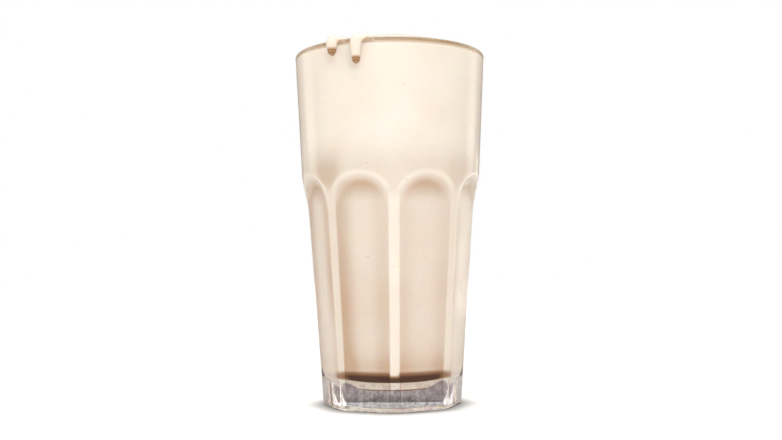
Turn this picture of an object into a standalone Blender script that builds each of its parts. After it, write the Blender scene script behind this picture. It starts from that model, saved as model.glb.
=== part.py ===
"""Vanilla milkshake in its glass: a heavy pressed tumbler with eight arched panels, filled over the brim.

Two pieces: the glass, and the shake that fills it, whose drips hang over the lip as one piece with it.
Metres, +Z up, origin on the table under the glass's axis. A rib of the glass faces -Y, and azimuths
are measured from it towards +X.
"""

import math

import bmesh
import bpy

MM = 0.001
TURN = 2 * math.pi

# The glass, outside
HEIGHT = 161.5 * MM
RIM_RADIUS = 44.0 * MM
SHOULDER_HEIGHT = 106.0 * MM
SHOULDER_RADIUS = 41.2 * MM
RIB_TOP_HEIGHT = 90.0 * MM
RIB_TOP_RADIUS = 38.3 * MM
FOOT_RIB_RADIUS = 31.8 * MM
FOOT_CHAMFER = 0.9 * MM
LIP_RADIUS = 1.7 * MM

# The panels: flats cut into the round body, each ending above in an arch
PANELS = 8
FOOT_FLAT = 30.0 * MM
PANEL_TOP_FLAT = 36.3 * MM
RIB_SOFTNESS = 0.22 * MM
ARCH_SPRING = 93.5 * MM
ARCH_RISE = 11.0 * MM
ARCH_START = 74.0 * MM
ARCH_HALF_ANGLE = math.radians(20.5)
ARCH_INNER = 0.60
ARCH_OUTER = 1.12

# The cavity and the underside
CAVITY_FLOOR = 12.5 * MM
CAVITY_FLOOR_RADIUS = 25.6 * MM
CAVITY_CORNER = 5.0 * MM
CAVITY_SAG = 0.5 * MM
DISH_RADIUS = 21.0 * MM
DISH_FLAT = 9.5 * MM
DISH_DEPTH = 4.0 * MM
PUNT_RADIUS = 21.0 * MM
PUNT_SLOPE = 2.5 * MM
PUNT_DEPTH = 1.4 * MM
PUNT_BEND = 0.6

# The shake: its fill, and a crown that swells a little at the front, with a shallow swirl. Shares are of the
# radius.
FILL_GAP = 0.4 * MM
LIP_GAP = 0.3 * MM
FILL_BELOW_LIP = 1.6 * MM
CROWN_HEIGHT = 5.2 * MM
CROWN_POWER = 2.6
SWELL_HEIGHT = 0.8 * MM
SWELL_SIDE = math.radians(3)
SWELL_SPREAD = math.radians(42)
SWELL_START = 0.45
SWELL_FULL = 0.85
SWELL_END = 0.94
SWIRL_DEPTH = 0.45 * MM
SWIRL_ARMS = 2
SWIRL_TURNS = 1.6
SWIRL_START = 0.25
SWIRL_WANE = 0.66
SWIRL_END = 0.96

# Each drip: azimuth, drop below the lip, half width where it crosses the lip, how far that is off to its
# right, half width of its body, thickness
DRIPS = {
    "short": (math.radians(-36.5), 6.4 * MM, 4.1 * MM, 0.4 * MM, 2.5 * MM, 2.2 * MM),
    "long": (math.radians(-21.2), 10.9 * MM, 4.6 * MM, 2.1 * MM, 2.45 * MM, 2.1 * MM),
}
DRIP_ROOT = 8.0 * MM
ROOT_WIDENING = 1.35
NARROWS_FROM = -1.0 * MM
NARROWS_OVER = 4.5 * MM
TIP_THICKNESS = 0.3
DRIP_SUNK = 1.3 * MM
CLEARANCE_DEPTH = 20 * MM

# How finely the surfaces are divided
COLUMNS = 96
SHOULDER_ROWS = 15
SHOULDER_MARGIN = 3 * MM
WALL_ROWS = 4
LIP_STEPS = 6
CORNER_STEPS = 5
DISH_STEPS = 4
CROWN_ROWS = 9
CROWN_ROWS_EDGE = 0.8
DRIP_SIDES = 14
DRIP_STATIONS = 16
MERGE = 0.01 * MM
SMOOTH_UNDER = math.radians(40)


def smooth(share):
    """Smooth step from 0 to 1."""
    share = min(1.0, max(0.0, share))
    return share * share * (3 - 2 * share)


def ramp(value, start, end):
    """Smooth step from 0 at the start to 1 at the end, which may lie on either side of it."""
    return smooth((value - start) / (end - start))


def line(value, low, high, at_low, at_high):
    """Straight line through two points, carried on past them."""
    return at_low + (at_high - at_low) * (value - low) / (high - low)


def steps_between(first, last, count):
    """Even steps after the first value, up to and with the last."""
    return [line(i, 0, count, first, last) for i in range(1, count + 1)]


def round_radius(height):
    """Outer radius of the body before its panels are cut: a rim cone, a soft shoulder and a foot cone."""
    upper = line(height, SHOULDER_HEIGHT, HEIGHT, SHOULDER_RADIUS, RIM_RADIUS)
    lower = line(height, 0, RIB_TOP_HEIGHT, FOOT_RIB_RADIUS, RIB_TOP_RADIUS)
    return lower + (upper - lower) * ramp(height, RIB_TOP_HEIGHT, SHOULDER_HEIGHT)


def panel_angle(azimuth):
    """Angle from the middle of the nearest panel. The ribs lie at 0 and at each eighth of a turn."""
    pitch = TURN / PANELS
    return (azimuth % pitch) - pitch / 2


def outer_radius(azimuth, height):
    """Outer radius of the pressed glass: the round body less the flat that is cut into it under the arch."""
    off = panel_angle(azimuth)
    body = round_radius(height)
    flat = line(height, 0, RIB_TOP_HEIGHT, FOOT_FLAT, PANEL_TOP_FLAT) / math.cos(off)
    over = body - flat
    cut = (over + math.hypot(over, 2 * RIB_SOFTNESS)) / 2
    beside = off / ARCH_HALF_ANGLE * ramp(height, ARCH_START, ARCH_SPRING)
    above = max(0.0, height - ARCH_SPRING) / ARCH_RISE
    return body - cut * ramp(math.hypot(beside, above), ARCH_OUTER, ARCH_INNER)


def cavity_radius(height):
    """Inner radius of the glass above its rounded corner: a cone that sags in a little."""
    share = (height - CAVITY_FLOOR) / (HEIGHT - LIP_RADIUS - CAVITY_FLOOR)
    lip_inside = RIM_RADIUS - 2 * LIP_RADIUS
    return line(share, 0, 1, CAVITY_FLOOR_RADIUS, lip_inside) - CAVITY_SAG * 4 * share * (1 - share)


def corner_points(inset):
    """Profile round the bottom corner of the cavity, from its floor outwards and up, shrunk by the inset."""
    turn = CAVITY_FLOOR + CAVITY_CORNER
    centre = cavity_radius(turn) - CAVITY_CORNER
    reach = CAVITY_CORNER - inset
    angles = [TURN / 4 * i / CORNER_STEPS for i in range(CORNER_STEPS + 1)]
    return [(centre + reach * math.sin(a), turn - reach * math.cos(a)) for a in angles]


def dish_points(lift):
    """Profile of the cavity's dished floor, from its middle outwards, raised by the lift."""
    radii = [0.0, DISH_FLAT, *steps_between(DISH_FLAT, DISH_RADIUS, DISH_STEPS)[:-1]]
    return [(r, CAVITY_FLOOR + lift - DISH_DEPTH * ramp(r, DISH_RADIUS, DISH_FLAT)) for r in radii]


def lip_points(gap):
    """Profile over the lip, from its inside to its outside, grown by the gap."""
    middle = RIM_RADIUS - LIP_RADIUS
    reach = LIP_RADIUS + gap
    angles = [TURN / 2 * i / LIP_STEPS for i in range(LIP_STEPS + 1)]
    return [(middle - reach * math.cos(a), HEIGHT - LIP_RADIUS + reach * math.sin(a)) for a in angles]


def linked(name, mesh):
    """A new object with the mesh, in the scene."""
    made = bpy.data.objects.new(name, mesh)
    bpy.context.scene.collection.objects.link(made)
    return made


def baked(name, obj):
    """A new mesh object with the evaluated shape of obj, which is removed."""
    graph = bpy.context.evaluated_depsgraph_get()
    mesh = bpy.data.meshes.new_from_object(obj.evaluated_get(graph))
    bpy.data.objects.remove(obj)
    return linked(name, mesh)


def turned(name, profile):
    """Turns a profile of (radius, height) about the Z axis into a closed mesh object."""
    mesh = bpy.data.meshes.new(name)
    edges = [(i, i + 1) for i in range(len(profile) - 1)]
    mesh.from_pydata([(radius, 0, height) for radius, height in profile], edges, [])
    blank = linked(name + "_profile", mesh)
    screw = blank.modifiers.new("turn", "SCREW")
    screw.steps = screw.render_steps = COLUMNS
    screw.use_merge_vertices = True
    screw.merge_threshold = MERGE
    return baked(name, blank)


def combined(target, operation, others):
    """The target after one Boolean with all of the others, which are removed."""
    name = target.name
    group = bpy.data.collections.new(name + "_others")
    bpy.context.scene.collection.children.link(group)
    for other in others:
        group.objects.link(other)
        bpy.context.scene.collection.objects.unlink(other)
    boolean = target.modifiers.new(operation.lower(), "BOOLEAN")
    boolean.operand_type = "COLLECTION"
    boolean.collection = group
    boolean.operation = operation
    result = baked(name, target)
    for other in others:
        bpy.data.objects.remove(other)
    bpy.data.collections.remove(group)
    return result


def glass_profile():
    """The glass's section, from the middle of the cavity's floor over the lip to the middle of the underside."""
    rows = dish_points(0.0) + corner_points(0.0)
    inner = steps_between(rows[-1][1], HEIGHT - LIP_RADIUS, WALL_ROWS)[:-1]
    rows += [(cavity_radius(height), height) for height in inner]
    rows += lip_points(0.0)
    shoulder_top = SHOULDER_HEIGHT + SHOULDER_MARGIN
    shoulder_foot = RIB_TOP_HEIGHT - SHOULDER_MARGIN
    outer = steps_between(HEIGHT - LIP_RADIUS, shoulder_top, WALL_ROWS // 2)
    outer += steps_between(shoulder_top, shoulder_foot, SHOULDER_ROWS)
    outer += steps_between(shoulder_foot, FOOT_CHAMFER, WALL_ROWS)
    rows += [(round_radius(height), height) for height in outer]
    rows.append((round_radius(0) - FOOT_CHAMFER, 0.0))
    rows.append((PUNT_RADIUS, 0.0))
    rows.append((PUNT_RADIUS - PUNT_SLOPE / 2, PUNT_DEPTH * PUNT_BEND))
    rows.append((PUNT_RADIUS - PUNT_SLOPE, PUNT_DEPTH))
    rows.append((0.0, PUNT_DEPTH))
    return rows


def press_panels(glass):
    """Presses the eight panels into the turned glass, by moving its outer wall in below the lip."""
    for vertex in glass.data.vertices:
        x, y, height = vertex.co
        radius = math.hypot(x, y)
        inset = round_radius(height) - radius
        if height < HEIGHT - LIP_RADIUS - MERGE and inset < FOOT_CHAMFER + MERGE:
            pressed = outer_radius(math.atan2(x, -y), height) - inset
            vertex.co.x *= pressed / radius
            vertex.co.y *= pressed / radius


def shake_level():
    """Height at which the shake's crown meets the wall of the glass."""
    return HEIGHT - FILL_BELOW_LIP


def shake_edge():
    """Radius of the shake where its crown begins."""
    return cavity_radius(shake_level()) - FILL_GAP


def crown_rise(azimuth, share):
    """Height of the crown over its edge at a share of its radius."""
    dome = CROWN_HEIGHT * max(0.0, 1 - share**CROWN_POWER) ** (1 / CROWN_POWER)
    side = smooth(1 - abs(azimuth - SWELL_SIDE) / SWELL_SPREAD)
    swell = side * ramp(share, SWELL_START, SWELL_FULL) * ramp(share, 1.0, SWELL_END)
    stirred = ramp(share, 0.0, SWIRL_START) * ramp(share, SWIRL_END, SWIRL_WANE)
    wave = math.sin(SWIRL_ARMS * azimuth + SWIRL_TURNS * TURN * share)
    return dome + SWELL_HEIGHT * swell + SWIRL_DEPTH * wave * stirred


def shake_profile():
    """The shake's section, from the middle of its crown down the wall to the middle of its underside."""
    shares = [math.sin(TURN / 4 * i / CROWN_ROWS) ** CROWN_ROWS_EDGE for i in range(CROWN_ROWS + 1)]
    rows = [(shake_edge() * share, shake_level() + crown_rise(math.pi, share)) for share in shares]
    corner = corner_points(FILL_GAP)
    wall = steps_between(shake_level(), corner[-1][1], WALL_ROWS)[:-1]
    rows += [(cavity_radius(height) - FILL_GAP, height) for height in wall]
    rows += reversed(dish_points(FILL_GAP) + corner)
    return rows


def stir_crown(shake):
    """Gives the turned crown its swell at the front and its swirl."""
    for vertex in shake.data.vertices:
        x, y, height = vertex.co
        if height > shake_level() + MERGE:
            share = math.hypot(x, y) / shake_edge()
            vertex.co.z = shake_level() + crown_rise(math.atan2(x, -y), share)


def drip_path(way):
    """(radius, height, lean) of the surface under a drip, at a way past the top of the lip. Lean 0 faces up."""
    middle = RIM_RADIUS - LIP_RADIUS
    reach = LIP_RADIUS + LIP_GAP
    bend = TURN / 4 * reach
    if way < 0:
        return middle + way, HEIGHT + LIP_GAP, 0.0
    if way < bend:
        lean = way / reach
        return middle + reach * math.sin(lean), HEIGHT - LIP_RADIUS + reach * math.cos(lean), lean
    height = HEIGHT - LIP_RADIUS - (way - bend)
    return round_radius(height) + LIP_GAP, height, TURN / 4


def drip_section(way, length, crossing, offset, body, thick):
    """(half width, shift to the right, thickness) of a drip at a way past the top of the lip."""
    fall = ramp(way, NARROWS_FROM, NARROWS_FROM + NARROWS_OVER)
    root = line(min(way, 0.0), -DRIP_ROOT, 0.0, ROOT_WIDENING, 1.0)
    width = crossing * root + (body - crossing * root) * fall
    beyond = min(1.0, max(0.0, 1 - (length - way) / body))
    close = math.sqrt(1 - beyond * beyond)
    return width * close, offset * (1 - fall), thick * (TIP_THICKNESS + (1 - TIP_THICKNESS) * close)


def drip(name, azimuth, drop, crossing, offset, body, thick):
    """One tongue of shake from the crown over the lip and down the outside, lofted through oval sections."""
    shape = bmesh.new()
    length = drop + LIP_RADIUS
    rings = []
    for station in range(DRIP_STATIONS):
        way = line(math.sin(TURN / 4 * station / DRIP_STATIONS), 0, 1, -DRIP_ROOT, length)
        width, shift, height = drip_section(way, length, crossing, offset, body, thick)
        radius, level, lean = drip_path(way)
        ring = []
        for side in range(DRIP_SIDES):
            turn = TURN * side / DRIP_SIDES
            rise = math.sin(turn) * (height if math.sin(turn) > 0 else DRIP_SUNK)
            out = radius + rise * math.sin(lean)
            up = level + rise * math.cos(lean)
            ring.append(shape.verts.new((width * math.cos(turn) + shift, -out, up)))
        rings.append(ring)
    for near, far in zip(rings, rings[1:]):
        for side in range(DRIP_SIDES):
            after = (side + 1) % DRIP_SIDES
            shape.faces.new((near[side], near[after], far[after], far[side]))
    radius, level, _ = drip_path(length)
    tip = shape.verts.new((0, -radius, level))
    for side in range(DRIP_SIDES):
        shape.faces.new((rings[-1][side], rings[-1][(side + 1) % DRIP_SIDES], tip))
    shape.faces.new(list(reversed(rings[0])))
    bmesh.ops.recalc_face_normals(shape, faces=shape.faces)
    for vertex in shape.verts:
        x, y, _ = vertex.co
        vertex.co.x = x * math.cos(azimuth) - y * math.sin(azimuth)
        vertex.co.y = x * math.sin(azimuth) + y * math.cos(azimuth)
    mesh = bpy.data.meshes.new("drip_" + name)
    shape.to_mesh(mesh)
    shape.free()
    return linked("drip_" + name, mesh)


def lip_clearance():
    """The space kept clear round the lip, as a closed ring that is cut from each drip."""
    depth = HEIGHT - CLEARANCE_DEPTH
    outer = (round_radius(depth) + LIP_GAP, depth)
    inner = (cavity_radius(depth) - LIP_GAP, depth)
    return turned("lip_clearance", [inner, *lip_points(LIP_GAP), outer, inner])


def finish(obj, colour, roughness, transmission):
    """Shades the object smooth and gives it a material of its name."""
    material = bpy.data.materials.new(obj.name)
    material.use_nodes = True
    shader = material.node_tree.nodes["Principled BSDF"]
    shader.inputs["Base Color"].default_value = (*colour, 1.0)
    shader.inputs["Roughness"].default_value = roughness
    shader.inputs["Metallic"].default_value = 0.0
    shader.inputs["Transmission Weight"].default_value = transmission
    obj.data.name = obj.name
    obj.data.materials.clear()
    obj.data.materials.append(material)
    obj.data.shade_smooth()
    obj.data.set_sharp_from_angle(angle=SMOOTH_UNDER)


def make_glass():
    """The pressed glass tumbler."""
    glass = turned("glass", glass_profile())
    press_panels(glass)
    finish(glass, colour=(0.93, 0.94, 0.95), roughness=0.03, transmission=1.0)
    return glass


def make_shake():
    """The shake that fills the glass, with its drips over the lip."""
    shake = turned("milkshake", shake_profile())
    stir_crown(shake)
    drips = [
        combined(drip(name, *sizes), "DIFFERENCE", [lip_clearance()]) for name, sizes in DRIPS.items()
    ]
    shake = combined(shake, "UNION", drips)
    finish(shake, colour=(0.93, 0.85, 0.74), roughness=0.35, transmission=0.0)
    return shake


def main():
    for old in list(bpy.data.objects):
        bpy.data.objects.remove(old)
    group = bpy.data.collections.new("vanilla_milkshake")
    bpy.context.scene.collection.children.link(group)
    for piece in (make_glass(), make_shake()):
        bpy.context.scene.collection.objects.unlink(piece)
        group.objects.link(piece)


main()
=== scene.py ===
"""Dressed vanilla milkshake in its pressed glass tumbler.

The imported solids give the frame. Here the tumbler is pressed again at full fineness, the shake is poured
up to its wall and over its lip as one piece, with froth on its crown and a mist of condensation on the glass.
Lengths are metres. Azimuths are measured from -Y towards +X, and a rib of the glass faces -Y.
"""

from __future__ import annotations

import logging
import math
from dataclasses import dataclass, field
from enum import Enum

import bmesh
import bpy
import numpy as np
from mathutils import Matrix, Vector


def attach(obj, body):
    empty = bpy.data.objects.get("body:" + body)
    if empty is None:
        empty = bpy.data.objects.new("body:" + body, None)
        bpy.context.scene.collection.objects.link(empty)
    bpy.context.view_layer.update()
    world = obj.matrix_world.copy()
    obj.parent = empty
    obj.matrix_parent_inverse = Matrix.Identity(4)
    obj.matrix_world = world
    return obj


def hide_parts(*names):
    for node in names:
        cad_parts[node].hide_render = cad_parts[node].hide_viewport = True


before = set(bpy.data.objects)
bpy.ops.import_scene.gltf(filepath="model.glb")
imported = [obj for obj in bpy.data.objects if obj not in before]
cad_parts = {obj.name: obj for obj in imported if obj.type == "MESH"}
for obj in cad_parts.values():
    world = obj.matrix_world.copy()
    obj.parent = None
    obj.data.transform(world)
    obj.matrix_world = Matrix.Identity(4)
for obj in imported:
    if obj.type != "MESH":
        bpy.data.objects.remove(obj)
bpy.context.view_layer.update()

MM = 0.001
TURN = 2 * math.pi
BODY = "root"
WHITE = (1.0, 1.0, 1.0, 1.0)
BLACK = (0.0, 0.0, 0.0, 1.0)

LOG = logging.getLogger("milkshake")

Colour = tuple[float, float, float, float]
Number = np.ndarray | float
Socket = bpy.types.NodeSocket
Feed = Socket | float | tuple[float, ...]


class Node(Enum):
    """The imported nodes, whose names are also their material slots."""

    GLASS = "glass"
    SHAKE = "milkshake"


class Beside(Enum):
    """The two sides of the glass that a strip light stands on, as seen from the camera."""

    LEFT = -1
    RIGHT = 1


def smooth(share: Number) -> np.ndarray:
    """Eases a share from 0 to 1, held outside that span.

    Args:
        share: Where between the two ends.

    Returns:
        The eased share.
    """
    held = np.clip(share, 0.0, 1.0)
    return held * held * (3 - 2 * held)


def ramp(value: Number, start: Number, end: Number) -> np.ndarray:
    """Eases from 0 at the start to 1 at the end, which may lie on either side of it.

    Args:
        value: The place to read.
        start: Where the ramp is 0.
        end: Where the ramp is 1.

    Returns:
        The eased share.
    """
    return smooth((value - start) / (end - start))


def line(value: Number, low: float, high: float, at_low: Number, at_high: Number) -> Number:
    """Reads the straight line through two points, carried on past them.

    Args:
        value: The place to read.
        low: First place.
        high: Second place.
        at_low: Value at the first place.
        at_high: Value at the second place.

    Returns:
        The value on the line.
    """
    return at_low + (at_high - at_low) * (value - low) / (high - low)


@dataclass(frozen=True)
class Span:
    """A stretch over which a painted mask eases in."""

    start: float
    end: float

    def at(self, value: Number) -> np.ndarray:
        """Gives the mask at a value: 0 at the start of the stretch and 1 at its end."""
        return ramp(value, self.start, self.end)


WHOLE = Span(0.0, 1.0)


@dataclass(frozen=True)
class TumblerForm:
    """Sizes of the pressed tumbler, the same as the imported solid's."""

    height: float = 161.5 * MM
    rim_radius: float = 44.0 * MM
    shoulder_height: float = 106.0 * MM
    shoulder_radius: float = 41.2 * MM
    rib_top_height: float = 90.0 * MM
    rib_top_radius: float = 38.3 * MM
    foot_rib_radius: float = 31.8 * MM
    foot_chamfer: float = 0.9 * MM
    lip_radius: float = 1.7 * MM
    panels: int = 8
    foot_flat: float = 30.0 * MM
    panel_top_flat: float = 36.3 * MM
    rib_softness: float = 0.22 * MM
    arch_spring: float = 93.5 * MM
    arch_rise: float = 11.0 * MM
    arch_start: float = 74.0 * MM
    arch_half_angle: float = math.radians(20.5)
    arch_inner: float = 0.60
    arch_outer: float = 1.12
    cavity_floor: float = 12.5 * MM
    cavity_floor_radius: float = 25.6 * MM
    cavity_corner: float = 5.0 * MM
    cavity_sag: float = 0.5 * MM
    dish_radius: float = 21.0 * MM
    dish_flat: float = 9.5 * MM
    dish_depth: float = 4.0 * MM
    punt_radius: float = 21.0 * MM
    punt_slope: float = 2.5 * MM
    punt_depth: float = 1.4 * MM

    @property
    def lip_middle(self) -> float:
        """Radius of the circle that runs through the middle of the lip."""
        return self.rim_radius - self.lip_radius

    @property
    def lip_level(self) -> float:
        """Height of the circle that runs through the middle of the lip."""
        return self.height - self.lip_radius

    def round_radius(self, height: Number) -> np.ndarray:
        """Gives the outer radius of the body before its panels are pressed.

        Args:
            height: Heights above the table.

        Returns:
            The radii.
        """
        upper = line(height, self.shoulder_height, self.height, self.shoulder_radius, self.rim_radius)
        lower = line(height, 0, self.rib_top_height, self.foot_rib_radius, self.rib_top_radius)
        return lower + (upper - lower) * ramp(height, self.rib_top_height, self.shoulder_height)

    def panel_angle(self, azimuth: np.ndarray) -> np.ndarray:
        """Gives the angle from the middle of the nearest panel.

        Args:
            azimuth: Azimuths round the glass.

        Returns:
            The angles, between minus and plus half a panel.
        """
        pitch = TURN / self.panels
        return azimuth % pitch - pitch / 2

    def arch_reach(self, azimuth: np.ndarray, height: Number) -> np.ndarray:
        """Tells how far a place is from the heart of its panel, where the arch's edge is near 1.

        Args:
            azimuth: Azimuths round the glass.
            height: Heights above the table.

        Returns:
            The reach, 0 inside the panel.
        """
        beside = self.panel_angle(azimuth) / self.arch_half_angle
        beside = beside * ramp(height, self.arch_start, self.arch_spring)
        above = np.maximum(0.0, height - self.arch_spring) / self.arch_rise
        return np.hypot(beside, above)

    def outer_radius(self, azimuth: np.ndarray, height: Number) -> np.ndarray:
        """Gives the outer radius of the glass: the round body less the flat pressed in under the arch.

        Args:
            azimuth: Azimuths round the glass.
            height: Heights above the table.

        Returns:
            The radii.
        """
        body = self.round_radius(height)
        flat = line(height, 0, self.rib_top_height, self.foot_flat, self.panel_top_flat)
        over = body - flat / np.cos(self.panel_angle(azimuth))
        cut = (over + np.hypot(over, 2 * self.rib_softness)) / 2
        return body - cut * ramp(self.arch_reach(azimuth, height), self.arch_outer, self.arch_inner)

    def cavity_radius(self, height: Number) -> np.ndarray:
        """Gives the inner radius of the glass above its rounded corner.

        Args:
            height: Heights above the table.

        Returns:
            The radii.
        """
        share = (height - self.cavity_floor) / (self.lip_level - self.cavity_floor)
        inside = self.rim_radius - 2 * self.lip_radius
        sag = self.cavity_sag * 4 * share * (1 - share)
        return line(share, 0, 1, self.cavity_floor_radius, inside) - sag

    @property
    def dish_bottom(self) -> float:
        """Height of the flat middle of the cavity's dished floor."""
        return self.cavity_floor - self.dish_depth

    def floor_rows(self, sunk: float, steps: int) -> list[tuple[float, float]]:
        """Gives the profile of the cavity's dished floor, from its middle to where the corner begins.

        Args:
            sunk: How far the profile lies under the floor.
            steps: Number of steps down the dish's side.

        Returns:
            Points of radius and height.
        """
        span = np.linspace(self.dish_flat, self.dish_radius, steps)[:-1]
        radii = [self.dish_flat * 0.1, self.dish_flat * 0.6, *span]
        side = self.dish_radius - self.dish_flat
        sunken = [self.dish_depth * float(smooth((self.dish_radius - r) / side)) for r in radii]
        return [(r, self.cavity_floor - sunk - deep) for r, deep in zip(radii, sunken)]

    def corner(self, grown: float, steps: int) -> list[tuple[float, float]]:
        """Gives the profile round the bottom corner of the cavity, from its floor outwards and up.

        Args:
            grown: How far the profile lies beyond the cavity's wall.
            steps: Number of steps.

        Returns:
            Points of radius and height.
        """
        turn = self.cavity_floor + self.cavity_corner
        centre = float(self.cavity_radius(turn)) - self.cavity_corner
        reach = self.cavity_corner + grown
        angles = np.linspace(0, TURN / 4, steps + 1)
        return [(centre + reach * math.sin(a), turn - reach * math.cos(a)) for a in angles]

    def columns(self, per_panel: int, crowding: float = 2.4) -> np.ndarray:
        """Spreads azimuths round the glass, crowded where the flats meet the ribs.

        Args:
            per_panel: Number of azimuths for each panel.
            crowding: How much closer they lie at the edges of the ribs.

        Returns:
            The azimuths, in order.
        """
        pitch = TURN / self.panels
        edge = pitch / 2 - math.acos(self.panel_top_flat / self.rib_top_radius)
        fine = np.linspace(0, pitch, 2001)
        off = np.minimum(fine, pitch - fine)
        density = 1 + crowding * np.exp(-(((off - edge) / math.radians(2.2)) ** 2))
        filled = np.concatenate([[0.0], np.cumsum((density[1:] + density[:-1]) / 2)])
        wanted = np.linspace(0, filled[-1], per_panel + 1)[:-1]
        one = np.interp(wanted, filled, fine)
        return np.concatenate([one + pitch * i for i in range(self.panels)])


@dataclass(frozen=True)
class CrownForm:
    """Sizes of the shake's crown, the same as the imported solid's."""

    below_lip: float = 1.6 * MM
    height: float = 5.2 * MM
    power: float = 2.6
    swell: float = 0.8 * MM
    swell_side: float = math.radians(3)
    swell_spread: float = math.radians(42)
    swirl: float = 0.45 * MM
    swirl_arms: int = 2
    swirl_turns: float = 1.6

    def rise(self, azimuth: np.ndarray, share: np.ndarray) -> np.ndarray:
        """Gives the height of the crown over its edge.

        Args:
            azimuth: Azimuths round the glass.
            share: Shares of the radius of the crown's edge.

        Returns:
            The heights.
        """
        dome = self.height * np.maximum(0.0, 1 - share**self.power) ** (1 / self.power)
        turned = (azimuth - self.swell_side + TURN / 2) % TURN - TURN / 2
        side = smooth(1 - np.abs(turned) / self.swell_spread)
        swell = side * ramp(share, 0.45, 0.85) * ramp(share, 1.0, 0.94)
        stirred = ramp(share, 0.0, 0.25) * ramp(share, 0.96, 0.66)
        wave = np.sin(self.swirl_arms * azimuth + self.swirl_turns * TURN * share)
        return dome + self.swell * swell + self.swirl * wave * stirred


@dataclass(frozen=True)
class Drip:
    """One tongue of shake over the lip.

    It hangs at its azimuth and drops below the lip. Its half widths are those where it crosses the lip,
    of its body and of its tip. The offset is how far its crossing lies to its right.
    """

    azimuth: float
    drop: float
    crossing: float
    offset: float
    body: float
    tip: float
    thick: float


def linked(name: str, mesh: bpy.types.Mesh) -> bpy.types.Object:
    """Puts a mesh in the scene as a new object.

    Args:
        name: Name of the object.
        mesh: Its mesh.

    Returns:
        The object.
    """
    made = bpy.data.objects.new(name, mesh)
    bpy.context.scene.collection.objects.link(made)
    return made


def skin(name: str, rings: list[np.ndarray], start: Vector | None, end: Vector | None) -> bpy.types.Mesh:
    """Skins closed rings of points with quads, and closes each end to a point where one is given.

    Args:
        name: Name of the mesh.
        rings: Rings of points, all with the same count.
        start: Point that closes the first ring, if any.
        end: Point that closes the last ring, if any.

    Returns:
        The mesh, with its faces turned outwards.
    """
    count = len(rings[0])
    points = [tuple(p) for ring in rings for p in ring]
    around = [(i, (i + 1) % count) for i in range(count)]
    faces = [
        (row * count + a, row * count + b, (row + 1) * count + b, (row + 1) * count + a)
        for row in range(len(rings) - 1)
        for a, b in around
    ]
    if start is not None:
        faces += [(len(points), b, a) for a, b in around]
        points.append(tuple(start))
    if end is not None:
        last = (len(rings) - 1) * count
        faces += [(last + a, last + b, len(points)) for a, b in around]
        points.append(tuple(end))
    mesh = bpy.data.meshes.new(name)
    mesh.from_pydata(points, [], faces)
    shape = bmesh.new()
    shape.from_mesh(mesh)
    bmesh.ops.recalc_face_normals(shape, faces=shape.faces)
    shape.to_mesh(mesh)
    shape.free()
    return mesh


def ring_at(azimuth: np.ndarray, radius: Number, height: Number) -> np.ndarray:
    """Gives a ring of points about the Z axis.

    Args:
        azimuth: Azimuth of each point.
        radius: Radius of each point, or of all.
        height: Height of each point, or of all.

    Returns:
        The points, one in each row.
    """
    height = np.broadcast_to(height, azimuth.shape)
    return np.stack([radius * np.sin(azimuth), -radius * np.cos(azimuth), height], axis=1)


def smooth_mesh(name: str, shape: bmesh.types.BMesh) -> bpy.types.Mesh:
    """Turns a worked shape, which it frees, into a smooth mesh.

    Args:
        name: Name of the mesh.
        shape: The shape.

    Returns:
        The mesh.
    """
    mesh = bpy.data.meshes.new(name)
    shape.to_mesh(mesh)
    shape.free()
    mesh.shade_smooth()
    return mesh


def paint_mask(mesh: bpy.types.Mesh, name: str, values: np.ndarray) -> None:
    """Stores a mask on the mesh's points, for its finish to read.

    Args:
        mesh: The mesh.
        name: Name of the mask.
        values: One value for each point.
    """
    layer = mesh.attributes.new(name, "FLOAT", "POINT")
    layer.data.foreach_set("value", values.astype(np.float32))


def cylinder_places(mesh: bpy.types.Mesh) -> tuple[np.ndarray, np.ndarray, np.ndarray]:
    """Reads where the mesh's points lie about the Z axis.

    Args:
        mesh: The mesh.

    Returns:
        Their azimuths, radii and heights.
    """
    points = np.empty(len(mesh.vertices) * 3)
    mesh.vertices.foreach_get("co", points)
    x, y, height = points.reshape(-1, 3).T
    return np.arctan2(x, -y), np.hypot(x, y), height


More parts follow.
